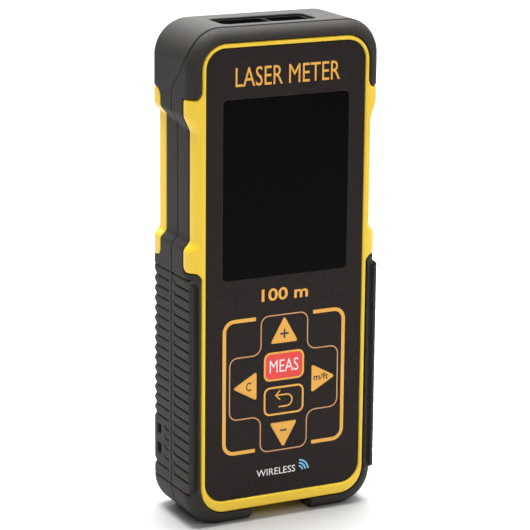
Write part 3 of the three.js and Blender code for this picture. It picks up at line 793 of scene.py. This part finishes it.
def lettering(name, words, box, look, body, weight=0.0, y=PANEL_FACE):
    """Words fitted to a box (x0, x1, z0, z1) on the panel's face."""
    curve = bpy.data.curves.new(name, "FONT")
    curve.body = words
    curve.offset = weight
    curve.extrude = 0.5
    curve.resolution_u = 3
    holder = bpy.data.objects.new(name + "_text", curve)
    bpy.context.scene.collection.objects.link(holder)
    bpy.context.view_layer.update()
    mesh = bpy.data.meshes.new_from_object(holder.evaluated_get(bpy.context.evaluated_depsgraph_get()))
    bpy.data.objects.remove(holder)
    points = np.array([tuple(v.co) for v in mesh.vertices])
    low, high = points.min(0), points.max(0)
    x0, x1, z0, z1 = box
    share = (points - low) / (high - low)
    share[:, 2] = 1 - share[:, 2]
    placed = np.stack([x0 + (x1 - x0) * share[:, 0], y - INK + (INK + 0.02) * share[:, 2],
                       z0 + (z1 - z0) * share[:, 1]], 1)
    made = mesh_object(name, placed, [tuple(p.vertices) for p in mesh.polygons], smooth=False)
    made.data.materials.append(LOOKS[look])
    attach(made, body)


def key_words():
    lettering("measure_word", "MEAS", (-4.5, 4.5, 42.5, 46.2), "white_ink", "measure_button")
    lettering("clear_word", "C", (-11.8, -10.2, 38.2, 40.7), "dark_ink", "clear_button", 0.01)
    lettering("unit_word", "m/ft", (9.4, 14.0, 38.7, 40.6), "dark_ink", "unit_button", 0.01)
    ink("minus_sign", [box_loop(0, 25.4, 1.0, 0.24)], "dark_ink", "minus_button")
    thin, arm, middle = 0.26, 1.3, 53.6
    quadrant = [(thin, -arm), (thin, -thin), (arm, -thin)]
    sign = np.array(quadrant + [(x, -z) for x, z in quadrant[::-1]])
    sign = np.vstack([sign, -sign])
    ink("plus_sign", [sign + [0, middle]], "dark_ink", "plus_button")


def box_loop(x, z, half_x, half_z):
    return np.array([(x - half_x, z - half_z), (x + half_x, z - half_z), (x + half_x, z + half_z),
                     (x - half_x, z + half_z)])


def panel_words():
    lettering("title_word", "LASER METER", (-15.6, 16.2, 124.0, 129.3), "orange_ink", "meter")
    lettering("range_word", "100 m", (-7.2, 7.2, 63.4, 67.0), "orange_ink", "meter", 0.02)
    lettering("wireless_word", "WIRELESS", (-8.3, 3.9, 12.6, 14.6), "white_ink", "meter")
    for i, radius in enumerate((1.3, 2.2, 3.1)):
        band = stroke(arc(4.9, 12.7, radius, 85, 5, 10), 0.5)
        ink(f"wireless_arc_{i + 1}", [band[::-1]], "blue_ink", "meter")


panel()
window()
for key_name, key_outline in KEY_OUTLINES.items():
    key(key_name, key_outline)
key_rings()
cross_outline()
brackets()
back_arrow()
key_words()
panel_words()


# ---------------------------------------------------------------- camera, light and floor
# The angles, the lens and the target's x and z were fitted to the photo. The target's y was chosen
# and the distance assumed, because the fit can't tell distance from size.
CAMERA_TARGET = (1.198, 1.75, 69.64)
CAMERA_ANGLES = (-26.906, 14.422, 0.544)  # azimuth, elevation and roll in degrees
CAMERA_LENS = 166.4
CAMERA_DISTANCE = 690


def add_camera():
    target = Vector(CAMERA_TARGET) * MM
    azimuth, elevation, roll = (math.radians(angle) for angle in CAMERA_ANGLES)
    distance = CAMERA_DISTANCE * MM
    away = Vector((math.sin(azimuth) * math.cos(elevation),
                   -math.cos(azimuth) * math.cos(elevation), math.sin(elevation)))
    lens = bpy.data.cameras.new("camera")
    lens.lens = CAMERA_LENS
    lens.sensor_width = 36
    camera = bpy.data.objects.new("camera", lens)
    bpy.context.scene.collection.objects.link(camera)
    look = (-away).to_track_quat("-Z", "Y").to_matrix().to_4x4()
    turn = Matrix.Rotation(roll, 4, "Z")
    camera.matrix_world = Matrix.Translation(target + away * distance) @ look @ turn
    bpy.context.scene.camera = camera


def area_light(name, spot, size, power, aim):
    light = bpy.data.lights.new(name, "AREA")
    light.shape = "RECTANGLE"
    light.size, light.size_y = size
    light.energy = power
    holder = bpy.data.objects.new(name, light)
    holder.location = spot
    holder.rotation_euler = (Vector(aim) - Vector(spot)).to_track_quat("-Z", "Y").to_euler()
    bpy.context.scene.collection.objects.link(holder)


def add_studio():
    middle = (CAD_LOW + CAD_HIGH) / 2
    world = bpy.data.worlds.new("studio")
    world.use_nodes = True
    tree = world.node_tree
    tree.nodes["Background"].inputs["Color"].default_value = (1, 1, 1, 1)
    rays = tree.nodes.new("ShaderNodeLightPath")
    level = tree.nodes.new("ShaderNodeMapRange")
    level.inputs["To Min"].default_value = 0.15
    level.inputs["To Max"].default_value = 1.0
    tree.links.new(rays.outputs["Is Camera Ray"], level.inputs["Value"])
    tree.links.new(level.outputs["Result"], tree.nodes["Background"].inputs["Strength"])
    bpy.context.scene.world = world
    area_light("key_light", (-0.25, -0.8, 0.8), (0.6, 0.6), 3.2, middle)
    area_light("left_light", (-0.9, 0.05, 0.35), (0.5, 0.8), 0.15, middle)
    area_light("top_light", (0.05, 0.1, 0.9), (0.7, 0.5), 22.0, middle)
    area_light("back_light", (0.55, 1.1, 0.5), (1.2, 0.7), 9.0, middle)
    area_light("right_light", (0.8, -0.4, 0.3), (0.4, 0.7), 0.6, middle)
    area_light("back_wash", (0.1, 1.5, 0.9), (1.6, 0.6), 9.0, (0.1, 1.0, 0.0))


def add_floor():
    bpy.ops.mesh.primitive_plane_add(size=8, location=(0, 0, CAD_LOW.z))
    floor = bpy.context.object
    floor.name = "floor"
    floor.data.materials.append(surface("floor_paint", linear(196, 196, 196), 0.8, spread=0.01, bump=0.0))


add_camera()
add_studio()
add_floor()
bpy.context.scene.view_settings.view_transform = "Standard"
